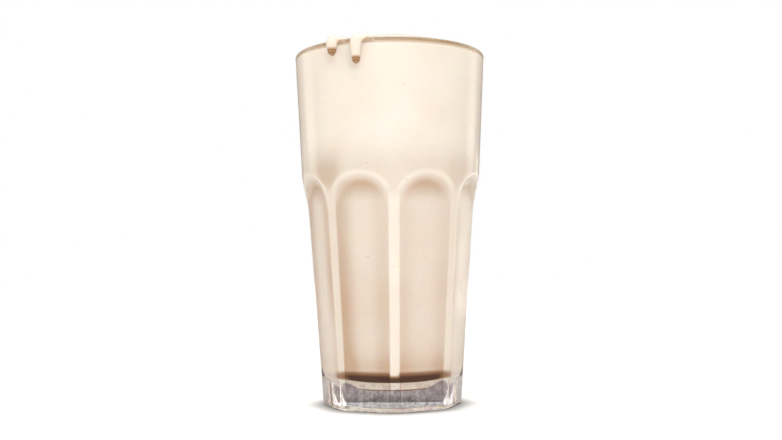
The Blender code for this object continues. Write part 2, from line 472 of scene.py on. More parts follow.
class Bench:
    """Adds and wires the nodes of one tree."""

    def __init__(self, tree: bpy.types.NodeTree) -> None:
        """Takes the tree to work on."""
        self.tree = tree

    def add(
        self, kind: str, inputs: dict[str | int, Feed] | None = None, **settings: object
    ) -> bpy.types.Node:
        """Adds a node.

        Args:
            kind: Blender's name of the node's type.
            inputs: What each named or numbered input gets: a socket to link, or a value.
            settings: The node's own settings.

        Returns:
            The node.
        """
        node = self.tree.nodes.new(kind)
        for name, value in settings.items():
            setattr(node, name, value)
        for key, value in (inputs or {}).items():
            if isinstance(value, bpy.types.NodeSocket):
                self.tree.links.new(value, node.inputs[key])
            else:
                node.inputs[key].default_value = value
        return node

    def maths(self, operation: str, first: Feed, second: Feed = 0.0, clamp: bool = False) -> Socket:
        """Adds a Math node.

        Args:
            operation: Its operation.
            first: Its first input.
            second: Its second input.
            clamp: Whether the result is held between 0 and 1.

        Returns:
            The result.
        """
        node = self.add("ShaderNodeMath", {0: first, 1: second}, operation=operation, use_clamp=clamp)
        return node.outputs[0]

    def ramp(self, value: Feed, span: Span, low: float = 0.0, high: float = 1.0) -> Socket:
        """Adds a smooth ramp over a span.

        Args:
            value: What is read.
            span: The span.
            low: What the ramp gives at the span's start.
            high: What the ramp gives at the span's end.

        Returns:
            The result.
        """
        inputs = {"Value": value, "From Min": span.start, "From Max": span.end, "To Min": low, "To Max": high}
        return self.add("ShaderNodeMapRange", inputs, interpolation_type="SMOOTHSTEP").outputs["Result"]

    def noise(self, vector: Feed, scale: Feed, detail: float = 2.0, roughness: float = 0.5) -> Socket:
        """Adds a noise texture.

        Args:
            vector: Where it is read.
            scale: Its scale.
            detail: Its detail.
            roughness: Its roughness.

        Returns:
            Its value, about 0.5.
        """
        inputs = {"Vector": vector, "Scale": scale, "Detail": detail, "Roughness": roughness}
        return self.add("ShaderNodeTexNoise", inputs).outputs["Fac"]

    def blend(self, share: Feed, first: Feed, second: Feed) -> Socket:
        """Blends two colours.

        Args:
            share: The share of the second.
            first: The first colour.
            second: The second colour.

        Returns:
            The colour.
        """
        node = self.tree.nodes.new("ShaderNodeMix")
        node.data_type = "RGBA"
        for socket, value in zip((node.inputs[0], node.inputs[6], node.inputs[7]), (share, first, second)):
            if isinstance(value, bpy.types.NodeSocket):
                self.tree.links.new(value, socket)
            else:
                socket.default_value = value
        return node.outputs[2]

    def bump(self, height: Feed, strength: float, distance: float) -> Socket:
        """Adds a bump.

        Args:
            height: Its height.
            strength: Its strength.
            distance: How far it rises.

        Returns:
            The normal.
        """
        inputs = {"Strength": strength, "Distance": distance, "Height": height}
        return self.add("ShaderNodeBump", inputs).outputs["Normal"]

    def link(self, value: Socket, node: bpy.types.Node, name: str) -> None:
        """Links a socket to a node's named input."""
        self.tree.links.new(value, node.inputs[name])


def new_group(
    name: str, inputs: dict[str, str], outputs: dict[str, str]
) -> tuple[Bench, dict[str, Socket], bpy.types.Node]:
    """Starts a shader node group with named sockets.

    Args:
        name: Name of the group.
        inputs: Socket type of each input.
        outputs: Socket type of each output.

    Returns:
        A bench on the group's tree, its input sockets by name, and its output node.
    """
    tree = bpy.data.node_groups.new(name, "ShaderNodeTree")
    for label, kind in inputs.items():
        tree.interface.new_socket(label, in_out="INPUT", socket_type=kind)
    for label, kind in outputs.items():
        tree.interface.new_socket(label, in_out="OUTPUT", socket_type=kind)
    entry = tree.nodes.new("NodeGroupInput")
    leave = tree.nodes.new("NodeGroupOutput")
    return Bench(tree), {socket.name: socket for socket in entry.outputs}, leave


@dataclass
class MottleGroup:
    """Creamy mottling: soft clouds of tone with a fine grain, for all that is made of shake."""

    name: str = "creamy_mottle"
    grain_scale: float = 2600.0
    cloud_share: float = 0.35
    grain_height: float = 0.2
    tree: bpy.types.NodeTree = field(init=False)

    def __post_init__(self) -> None:
        """Builds the group: a colour mottled between two tones, and a height for bump."""
        inputs = {
            "Position": "NodeSocketVector",
            "Light Tone": "NodeSocketColor",
            "Deep Tone": "NodeSocketColor",
            "Depth": "NodeSocketFloat",
            "Cloud Size": "NodeSocketFloat",
        }
        outputs = {"Colour": "NodeSocketColor", "Height": "NodeSocketFloat"}
        bench, entry, leave = new_group(self.name, inputs, outputs)
        clouds = bench.noise(entry["Position"], entry["Cloud Size"], 4.0, 0.55)
        grain = bench.noise(entry["Position"], self.grain_scale, 2.0, 0.6)
        spread = bench.maths("MULTIPLY", bench.maths("SUBTRACT", clouds, 0.5), self.cloud_share)
        share = bench.maths("ADD", entry["Depth"], spread, clamp=True)
        colour = bench.blend(share, entry["Light Tone"], entry["Deep Tone"])
        broad = bench.maths("MULTIPLY", clouds, 1 - self.grain_height)
        height = bench.maths("ADD", broad, bench.maths("MULTIPLY", grain, self.grain_height))
        bench.tree.links.new(colour, leave.inputs["Colour"])
        bench.tree.links.new(height, leave.inputs["Height"])
        self.tree = bench.tree

    def place(self, bench: Bench, **inputs: Feed) -> bpy.types.Node:
        """Places the group in a material.

        Args:
            bench: Bench on the material's tree.
            inputs: Value or socket for each input, with spaces written as underscores.

        Returns:
            The group's node.
        """
        named = {label.replace("_", " "): value for label, value in inputs.items()}
        return bench.add("ShaderNodeGroup", named, node_tree=self.tree)


def new_material(name: str) -> tuple[bpy.types.Material, Bench, bpy.types.Node, bpy.types.Node]:
    """Starts a node material.

    Args:
        name: Name of the material.

    Returns:
        The material, a bench on its tree, its Principled shader and its output node.
    """
    material = bpy.data.materials.new(name)
    material.use_nodes = True
    nodes = material.node_tree.nodes
    return material, Bench(material.node_tree), nodes["Principled BSDF"], nodes["Material Output"]


@dataclass(frozen=True)
class PressedGlassFinish:
    """Pressed glass: clear in its base, dulled by condensation above it, and tinted with painted light and
    shade.
    """

    name: str = "pressed_glass"
    index: float = 1.5
    clear: Colour = (0.985, 0.985, 0.98, 1.0)
    # Painted shade: the colour that the tone mask blends the glass towards.
    deep: Colour = (0.38, 0.22, 0.13, 1.0)
    # Painted shade: colour of the streaks in the base.
    base_shade: Colour = (0.42, 0.34, 0.37, 1.0)
    # Painted shade: colour where the glass is seen at a grazing angle.
    edge: Colour = (0.62, 0.52, 0.43, 1.0)
    # Painted shade: colour of the band along the lip.
    lip: Colour = (0.47, 0.37, 0.265, 1.0)
    shadow: Colour = (0.86, 0.85, 0.85, 1.0)
    base_shade_height: Span = Span(13.5 * MM, 11.5 * MM)
    dull_height: Span = Span(13.0 * MM, 20.0 * MM)
    lip_shade_height: Span = Span(158.5 * MM, 159.1 * MM)
    shadow_height: Span = Span(5.0 * MM, 9.0 * MM)
    stippled_height: Span = Span(0.6 * MM, 0.2 * MM)
    edge_shade_facing: Span = Span(0.82, 0.98)
    streak_scale: float = 330.0
    streak_noise: Span = Span(0.46, 0.60)
    streak_share: float = 0.75
    frost_scale: float = 2100.0
    frost_noise: Span = Span(0.45, 0.70)
    frost_share: float = 0.10
    mist_scale: float = 38.0
    mist_noise: Span = Span(0.35, 0.65)
    mist_least: float = 0.17
    mist_most: float = 0.25
    polish: float = 0.015
    stipple: float = 0.45
    wave_scale: float = 60.0
    wave_height: float = 0.3 * MM
    wave_strength: float = 0.3

    def tint(self, bench: Bench, place: Socket, height: Socket, dull: Socket) -> Socket:
        """Builds the colour of the glass, with its painted light and shade.

        Args:
            bench: Bench on the material's tree.
            place: Where the surface lies.
            height: Its height.
            dull: How misted it is.

        Returns:
            The colour.
        """
        # Painted shade in the base: grey-mauve streaks stand in for the darker surroundings seen through it.
        noise = bench.noise(place, self.streak_scale, 4.0, 0.65)
        streaks = bench.ramp(noise, self.streak_noise, 0.0, self.streak_share)
        base = bench.blend(streaks, self.clear, self.base_shade)
        clear = bench.blend(bench.ramp(height, self.base_shade_height), self.clear, base)
        speckle = bench.ramp(bench.noise(place, self.frost_scale, 2.0, 0.6), self.frost_noise)
        frost = bench.maths("MULTIPLY", bench.maths("MULTIPLY", speckle, self.frost_share), dull)
        # The tone mask is painted light and shade from the relief, and the frost's speckle is added to it.
        tone = bench.add("ShaderNodeAttribute", attribute_name="tone").outputs["Fac"]
        body = bench.blend(bench.maths("ADD", tone, frost), clear, self.deep)
        # Painted shade: the glass turns tan along the lip.
        body = bench.blend(bench.ramp(height, self.lip_shade_height), body, self.lip)
        # Painted shade: the colour turns tan where the surface is seen at a grazing angle.
        facing = bench.add("ShaderNodeLayerWeight", {"Blend": 0.5}).outputs["Facing"]
        return bench.blend(bench.ramp(facing, self.edge_shade_facing), body, self.edge)

    def roughness(self, bench: Bench, place: Socket, height: Socket, dull: Socket) -> Socket:
        """Builds the roughness of the glass: polished, misted above the base and stippled underneath.

        Args:
            bench: Bench on the material's tree.
            place: Where the surface lies.
            height: Its height.
            dull: How misted it is.

        Returns:
            The roughness.
        """
        noise = bench.noise(place, self.mist_scale, 3.0)
        mist = bench.ramp(noise, self.mist_noise, self.mist_least, self.mist_most)
        smooth_part = bench.maths("ADD", bench.maths("MULTIPLY", mist, dull), self.polish)
        return bench.maths("ADD", smooth_part, bench.ramp(height, self.stippled_height, 0.0, self.stipple))

    def make(self) -> bpy.types.Material:
        """Builds the material.

        Returns:
            The material.
        """
        material, bench, shader, output = new_material(self.name)
        place = bench.add("ShaderNodeTexCoord").outputs["Object"]
        height = bench.add("ShaderNodeSeparateXYZ", {"Vector": place}).outputs["Z"]
        dull = bench.ramp(height, self.dull_height)
        waves = bench.noise(place, self.wave_scale, 1.0)
        shader.inputs["Transmission Weight"].default_value = 1.0
        shader.inputs["IOR"].default_value = self.index
        bench.link(self.tint(bench, place, height, dull), shader, "Base Color")
        bench.link(self.roughness(bench, place, height, dull), shader, "Roughness")
        bench.link(bench.bump(waves, self.wave_strength, self.wave_height), shader, "Normal")
        passing = bench.blend(bench.ramp(height, self.shadow_height), self.shadow, self.clear)
        see_lamps(bench, shader, output, passing)
        return material


def see_lamps(bench: Bench, shader: bpy.types.Node, output: bpy.types.Node, passing: Feed) -> None:
    """Lets lamps shine straight through a clear shader onto what is behind it.

    Args:
        bench: Bench on the material's tree.
        shader: The clear shader.
        output: The material's output node.
        passing: The colour of the light that passes.
    """
    path = bench.add("ShaderNodeLightPath")
    through = bench.maths("MAXIMUM", path.outputs["Is Shadow Ray"], path.outputs["Is Diffuse Ray"])
    plain = bench.add("ShaderNodeBsdfTransparent", {"Color": passing})
    mix = bench.add("ShaderNodeMixShader", {0: through, 1: shader.outputs[0], 2: plain.outputs[0]})
    bench.tree.links.new(mix.outputs[0], output.inputs["Surface"])


def let_light_in(shader: bpy.types.Node, weight: float, depth: float) -> None:
    """Lets light into a creamy surface, where red travels farthest.

    Args:
        shader: The shader.
        weight: How much of the light goes in.
        depth: How far it goes.
    """
    shader.inputs["Subsurface Weight"].default_value = weight
    shader.inputs["Subsurface Radius"].default_value = (1.0, 0.62, 0.36)
    shader.inputs["Subsurface Scale"].default_value = depth


@dataclass(frozen=True)
class ShakeFinish:
    """Thick vanilla shake: creamy and a little see-through, wet on its crown, with painted brown shade round
    its foot.
    """

    name: str = "vanilla_shake"
    index: float = 1.38
    cream: Colour = (0.97, 0.925, 0.86, 1.0)
    beige: Colour = (0.66, 0.49, 0.345, 1.0)
    # Painted shade: tan and brown.
    tan: Colour = (0.40, 0.235, 0.115, 1.0)
    brown: Colour = (0.10, 0.036, 0.010, 1.0)
    to_tan: Span = Span(0.0, 0.5)
    to_brown: Span = Span(0.5, 1.0)
    cloud_size: float = 42.0
    dry_roughness: float = 0.75
    wet_roughness: float = 0.26
    glow: float = 0.5
    glow_depth: float = 3.0 * MM

    def make(self, mottle: MottleGroup) -> bpy.types.Material:
        """Builds the material.

        Args:
            mottle: The mottling that all shake shares.

        Returns:
            The material.
        """
        material, bench, shader, _ = new_material(self.name)
        masks = [bench.add("ShaderNodeAttribute", attribute_name=name) for name in ("depth", "shade", "wet")]
        depth, shade, wet = (mask.outputs["Fac"] for mask in masks)
        tone = mottle.place(
            bench,
            Position=bench.add("ShaderNodeTexCoord").outputs["Object"],
            Light_Tone=self.cream,
            Deep_Tone=self.beige,
            Depth=depth,
            Cloud_Size=self.cloud_size,
        )
        # Painted shade: the shade mask takes the colour to tan and then to brown.
        colour = bench.blend(bench.ramp(shade, self.to_tan), tone.outputs["Colour"], self.tan)
        colour = bench.blend(bench.ramp(shade, self.to_brown), colour, self.brown)
        shader.inputs["IOR"].default_value = self.index
        let_light_in(shader, self.glow, self.glow_depth)
        bench.link(colour, shader, "Base Color")
        bench.link(bench.ramp(wet, WHOLE, self.dry_roughness, self.wet_roughness), shader, "Roughness")
        bench.link(bench.bump(tone.outputs["Height"], 0.25, 0.4 * MM), shader, "Normal")
        return material


@dataclass(frozen=True)
class FrothFinish:
    """The thin skin of a bubble of shake."""

    name: str = "shake_froth"
    light: Colour = (0.96, 0.90, 0.81, 1.0)
    deep: Colour = (0.88, 0.76, 0.61, 1.0)
    deep_share: float = 0.3
    cloud_size: float = 900.0
    roughness: float = 0.14
    glow: float = 0.4
    glow_depth: float = 1.0 * MM

    def make(self, mottle: MottleGroup) -> bpy.types.Material:
        """Builds the material.

        Args:
            mottle: The mottling that all shake shares.

        Returns:
            The material.
        """
        material, bench, shader, _ = new_material(self.name)
        tone = mottle.place(
            bench,
            Position=bench.add("ShaderNodeTexCoord").outputs["Object"],
            Light_Tone=self.light,
            Deep_Tone=self.deep,
            Depth=self.deep_share,
            Cloud_Size=self.cloud_size,
        )
        shader.inputs["Roughness"].default_value = self.roughness
        let_light_in(shader, self.glow, self.glow_depth)
        bench.link(tone.outputs["Colour"], shader, "Base Color")
        bench.link(bench.bump(tone.outputs["Height"], 0.2, 0.1 * MM), shader, "Normal")
        return material


@dataclass(frozen=True)
class DewFinish:
    """Clear drops of water on the cold glass."""

    name: str = "dew"
    index: float = 1.33
    clear: Colour = (0.97, 0.98, 0.98, 1.0)
    film_scale: float = 700.0
    film_noise: Span = Span(0.3, 0.7)
    film_roughness: float = 0.06

    def make(self) -> bpy.types.Material:
        """Builds the material.

        Returns:
            The material.
        """
        material, bench, shader, output = new_material(self.name)
        film = bench.noise(bench.add("ShaderNodeTexCoord").outputs["Object"], self.film_scale)
        shader.inputs["Base Color"].default_value = self.clear
        shader.inputs["Transmission Weight"].default_value = 1.0
        shader.inputs["IOR"].default_value = self.index
        bench.link(bench.ramp(film, self.film_noise, 0.0, self.film_roughness), shader, "Roughness")
        see_lamps(bench, shader, output, self.clear)
        return material


@dataclass(frozen=True)
class PaperFinish:
    """Plain white studio paper.

    Light that has passed through the glass sees it dimmer than the camera does, and dimmest close to the
    foot, where a painted shadow lies. Ambient occlusion paints a contact shadow round the foot. It glows far
    away, so that it has no horizon, and under the foot, where its glow stands in for light on the shake.
    """

    name: str = "studio_paper"
    white: Colour = (0.94, 0.955, 0.98, 1.0)
    dim: Colour = (0.30, 0.27, 0.28, 1.0)
    # Painted shadow: colour close to the foot, seen through the glass.
    dark: Colour = (0.085, 0.07, 0.075, 1.0)
    soft: Colour = (0.60, 0.565, 0.54, 1.0)
    mirror_share: float = 0.45
    shadow_to_dim: Span = Span(75 * MM, 140 * MM)
    far: Span = Span(0.15, 0.9)
    far_glow: float = 0.5
    under: Span = Span(34 * MM, 28 * MM)
    under_glow: float = 0.65
    # Reach of the painted contact shadow: as the camera sees it, and as seen through the glass.
    contact: float = 9.0 * MM
    contact_shadow_in_glass: float = 45.0 * MM
    contact_shadow_power: float = 1.6
    roughness: float = 0.9
    grain_scale: float = 900.0

    def make(self) -> bpy.types.Material:
        """Builds the material.

        Returns:
            The material.
        """
        material, bench, shader, _ = new_material(self.name)
        place = bench.add("ShaderNodeTexCoord").outputs["Object"]
        away = bench.add("ShaderNodeVectorMath", {0: place}, operation="LENGTH").outputs["Value"]
        path = bench.add("ShaderNodeLightPath")
        seen = path.outputs["Is Camera Ray"]
        diffuse = path.outputs["Is Diffuse Ray"]
        passed = path.outputs["Is Transmission Ray"]
        mirrored = bench.maths("SUBTRACT", path.outputs["Is Glossy Ray"], passed, clamp=True)
        # Painted contact shadow: ambient occlusion darkens the paper round the foot.
        reach = bench.ramp(seen, WHOLE, self.contact_shadow_in_glass, self.contact)
        open_sky = bench.add("ShaderNodeAmbientOcclusion", {"Distance": reach}, samples=12).outputs["AO"]
        # Painted shadow: seen through the glass, the paper darkens close to the foot.
        through = bench.blend(bench.ramp(away, self.shadow_to_dim), self.dark, self.dim)
        white_share = bench.maths("MAXIMUM", seen, bench.maths("MULTIPLY", mirrored, self.mirror_share))
        paper = bench.blend(white_share, through, self.white)
        paper = bench.blend(bench.maths("POWER", open_sky, self.contact_shadow_power), BLACK, paper)
        paper = bench.blend(diffuse, paper, self.soft)
        far_glow = bench.maths("MULTIPLY", seen, bench.ramp(away, self.far, 0.0, self.far_glow))
        under_glow = bench.maths("MULTIPLY", diffuse, bench.ramp(away, self.under, 0.0, self.under_glow))
        grain = bench.noise(place, self.grain_scale, 3.0)
        shader.inputs["Roughness"].default_value = self.roughness
        shader.inputs["Emission Color"].default_value = WHITE
        bench.link(paper, shader, "Base Color")
        bench.link(bench.maths("ADD", far_glow, under_glow), shader, "Emission Strength")
        bench.link(bench.bump(grain, 0.05, 0.2 * MM), shader, "Normal")
        return material


def settle(piece: bpy.types.Object, node: Node, material: bpy.types.Material) -> None:
    """Gives a piece its finish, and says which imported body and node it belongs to.

    Args:
        piece: The piece.
        node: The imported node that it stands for.
        material: Its finish.
    """
    piece.data.materials.clear()
    piece.data.materials.append(material)
    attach(piece, BODY)
    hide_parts(node.value)
    LOG.info("%s: %d faces, stands for %s", piece.name, len(piece.data.polygons), node.value)


@dataclass(frozen=True)
class PressedReliefShading:
    """Painted light and shade on the outside of the glass, where its pressed relief gathers light or loses
    it.

    Amounts are 0 for painted light and 1 for painted shade. Spans are heights, angles from the middle of a
    panel, reaches from the heart of an arch, or sines of the azimuth, which are positive on the right.
    """

    form: TumblerForm
    # Painted shade above the arches and in the valleys between them, less on the right.
    above: float = 0.36
    above_height: Span = Span(121.0 * MM, 105.0 * MM)
    valley: float = 0.42
    valley_lost_on_right: float = 0.5
    valley_right: Span = Span(0.0, 0.4)
    valley_angle: Span = Span(math.radians(6), math.radians(17))
    valley_height: Span = Span(95.0 * MM, 101.0 * MM)
    valley_fade: Span = Span(121.0 * MM, 104.0 * MM)
    # Painted shade in the panels: deeper low down, along their edges, most on the left, and in the scoops.
    panel: float = 0.38
    panel_low: float = 0.09
    panel_edge: float = 0.14
    panel_edge_left: float = 0.30
    panel_edge_low: float = 0.06
    low_height: Span = Span(84.0 * MM, 48.0 * MM)
    left: Span = Span(0.05, -0.60)
    edge_angle: Span = Span(math.radians(3), math.radians(17))
    scoop_height: Span = Span(90.0 * MM, 100.5 * MM)
    arched_height: Span = Span(90.0 * MM, 99.0 * MM)
    # Painted highlight along the crest of each arch.
    crest: float = 0.70
    crest_rise: Span = Span(0.84, 0.93)
    crest_fall: Span = Span(1.09, 1.0)
    crest_height: Span = Span(94.0 * MM, 99.0 * MM)
    # Painted shade low on the wall, and painted light on the lower sides.
    foot: float = 0.32
    foot_height: Span = Span(30.0 * MM, 18.0 * MM)
    beside: float = 0.5
    beside_turn: Span = Span(0.62, 0.80)
    beside_height: Span = Span(60.0 * MM, 25.0 * MM)
    # Painted highlight on the ribs, dimmer on the slanting ones.
    rib: float = 0.06
    rib_slant: float = 0.22
    rib_angle: Span = Span(math.radians(18.2), math.radians(19.6))
    rib_height: Span = Span(98.0 * MM, 91.0 * MM)
    # Painted shade in the base: dark lines at the ribs' edges, and deeper facets on the left.
    outline: float = 0.75
    outline_rise: Span = Span(math.radians(17.4), math.radians(18.2))
    outline_fall: Span = Span(math.radians(19.4), math.radians(18.6))
    outline_height: Span = Span(1.2 * MM, 2.0 * MM)
    base_left_shade: float = 0.35
    base_left_turn: Span = Span(-0.72, -0.88)
    base_height: Span = Span(11.5 * MM, 14.5 * MM)

    def inside(self, reach: np.ndarray, height: np.ndarray) -> np.ndarray:
        """Tells how far a place lies inside its panel, whose soft edge widens under the arch.

        Args:
            reach: Reaches from the hearts of the panels.
            height: Heights above the table.

        Returns:
            1 inside the panel, 0 outside.
        """
        arched = self.arched_height.at(height)
        return ramp(reach, 1.02 - 0.10 * arched, 0.74 - 0.20 * arched)

    def above_arches(self, azimuth: np.ndarray, height: np.ndarray) -> np.ndarray:
        """Gives the painted shade above the arches, deeper in the valleys between them at the slanting ribs.

        Args:
            azimuth: Azimuths round the glass.
            height: Heights above the table.

        Returns:
            The tone.
        """
        off = np.abs(self.form.panel_angle(azimuth))
        valley = slanting(azimuth) * self.valley_angle.at(off) * self.valley_height.at(height)
        valley = valley * (1 - self.valley_lost_on_right * self.valley_right.at(np.sin(azimuth)))
        return self.above * self.above_height.at(height) + self.valley * valley * self.valley_fade.at(height)

    def in_panels(self, azimuth: np.ndarray, height: np.ndarray) -> np.ndarray:
        """Gives the painted shade in the panels, deeper along their edges and in the scoop under each arch.

        Args:
            azimuth: Azimuths round the glass.
            height: Heights above the table.

        Returns:
            The tone.
        """
        low = self.low_height.at(height)
        left = self.left.at(np.sin(azimuth))
        edge = self.panel_edge + self.panel_edge_left * left + self.panel_edge_low * low
        off = np.abs(self.form.panel_angle(azimuth))
        panel = self.panel + self.panel_low * low + edge * self.edge_angle.at(off)
        return panel + (1 - panel) * self.scoop_height.at(height)

    def on_wall(self, azimuth: np.ndarray, height: np.ndarray) -> np.ndarray:
        """Gives the painted shade of the wall between the ribs, above the base, and its painted highlights.

        Args:
            azimuth: Azimuths round the glass.
            height: Heights above the table.

        Returns:
            The tone.
        """
        reach = self.form.arch_reach(azimuth, height)
        above = self.above_arches(azimuth, height)
        tone = above + (self.in_panels(azimuth, height) - above) * self.inside(reach, height)
        # Painted highlight on each crest, and painted shade low on the wall.
        crest = self.crest_rise.at(reach) * self.crest_fall.at(reach) * self.crest_height.at(height)
        tone = tone * (1 - self.crest * crest) + self.foot * self.foot_height.at(height)
        # Painted light on the lower sides.
        beside = self.beside_turn.at(np.abs(np.sin(azimuth))) * self.beside_height.at(height)
        return tone * (1 - self.beside * beside)

    def at(self, azimuth: np.ndarray, height: np.ndarray) -> np.ndarray:
        """Gives the painted light and shade of the outside.

        Args:
            azimuth: Azimuths round the glass.
            height: Heights above the table.

        Returns:
            The tone.
        """
        off = np.abs(self.form.panel_angle(azimuth))
        # Painted highlight on the ribs.
        rib = self.rib_angle.at(off) * self.rib_height.at(height)
        rib_highlight_tone = self.rib + self.rib_slant * slanting(azimuth)
        upper = np.clip(self.on_wall(azimuth, height) * (1 - rib) + rib_highlight_tone * rib, 0, 1)
        # Painted shade in the base: dark lines at the ribs' edges, and deeper facets on the left.
        outline = self.outline_rise.at(off) * self.outline_fall.at(off) * self.outline_height.at(height)
        left = self.base_left_turn.at(np.sin(azimuth))
        base = np.clip(self.outline * outline + self.base_left_shade * left, 0, 1)
        over_base = self.base_height.at(height)
        return over_base * upper + (1 - over_base) * base


def slanting(azimuth: np.ndarray) -> np.ndarray:
    """Tells how squarely a place faces a diagonal: 1 at the slanting ribs, 0 at those that face an axis."""
    return (1 - np.cos(4 * azimuth)) / 2


@dataclass
class Tumbler:
    """The pressed glass tumbler."""

    form: TumblerForm
    per_panel: int = 36
    lip_steps: int = 20
    corner_steps: int = 12
    wall_rows: int = 26
    upper_rows: int = 10
    lower_rows: int = 14
    foot_steps: int = 6
    punt_steps: int = 9
    shoulder_low: float = 82.0 * MM
    shoulder_high: float = 111.0 * MM
    shoulder_rows: int = 48
    skin_depth: float = 0.05 * MM

    def profile_rings(self) -> list[np.ndarray]:
        """Builds the rings from the floor of the cavity over the lip and down to the hollow underneath.

        Returns:
            The rings.
        """
        form = self.form
        around = form.columns(self.per_panel)
        rows = form.floor_rows(0.0, self.corner_steps) + form.corner(0.0, self.corner_steps)
        rings = [ring_at(around, radius, height) for radius, height in rows]
        wall = np.linspace(form.cavity_floor + form.cavity_corner, form.lip_level, self.wall_rows)[1:-1]
        rings += [ring_at(around, float(form.cavity_radius(height)), height) for height in wall]
        for turn in np.linspace(0, TURN / 2, self.lip_steps + 1):
            radius = form.lip_middle - form.lip_radius * math.cos(turn)
            rings.append(ring_at(around, radius, form.lip_level + form.lip_radius * math.sin(turn)))
        upper = np.linspace(form.lip_level - 1.0 * MM, self.shoulder_high, self.upper_rows)
        shoulder = np.linspace(self.shoulder_high, self.shoulder_low, self.shoulder_rows)[1:]
        lower = np.linspace(self.shoulder_low, form.foot_chamfer, self.lower_rows)[1:]
        for height in np.concatenate([upper, shoulder, lower]):
            rings.append(ring_at(around, form.outer_radius(around, height), height))
        return rings + self.foot_rings(around)

    def foot_rings(self, around: np.ndarray) -> list[np.ndarray]:
        """Builds the rings round the foot's edge, over its flat ring and into the hollow under it.

        Args:
            around: Azimuths of the columns.

        Returns:
            The rings.
        """
        form = self.form
        rings = []
        foot = form.outer_radius(around, form.foot_chamfer)
        for turn in np.linspace(0, TURN / 4, self.foot_steps)[1:]:
            inset = form.foot_chamfer * (1 - math.cos(turn))
            rings.append(ring_at(around, foot - inset, form.foot_chamfer * (1 - math.sin(turn))))
        inside = form.punt_radius
        edge = foot - form.foot_chamfer
        rings.append(ring_at(around, (edge + inside) / 2, 0.0))
        for share in np.linspace(0, 1, self.punt_steps):
            height = form.punt_depth * float(smooth(share))
            rings.append(ring_at(around, inside - form.punt_slope * share, height))
        rings.append(ring_at(around, inside * 0.5, form.punt_depth))
        rings.append(ring_at(around, inside * 0.1, form.punt_depth))
        return rings

    def paint(self, mesh: bpy.types.Mesh) -> None:
        """Stores the painted light and shade of the outside, which the finish reads.

        Args:
            mesh: The finished mesh.
        """
        azimuth, radius, height = cylinder_places(mesh)
        outside = radius > self.form.outer_radius(azimuth, height) - self.skin_depth
        # The tone mask: painted light and shade, on the outside only.
        paint_mask(mesh, "tone", np.where(outside, PressedReliefShading(self.form).at(azimuth, height), 0.0))

    def build(self, material: bpy.types.Material) -> bpy.types.Object:
        """Builds and dresses the tumbler.

        Args:
            material: Its finish.

        Returns:
            The piece.
        """
        top = Vector((0, 0, self.form.dish_bottom))
        under = Vector((0, 0, self.form.punt_depth))
        mesh = skin("tumbler", self.profile_rings(), top, under)
        mesh.shade_smooth()
        self.paint(mesh)
        piece = linked("tumbler", mesh)
        settle(piece, Node.GLASS, material)
        return piece


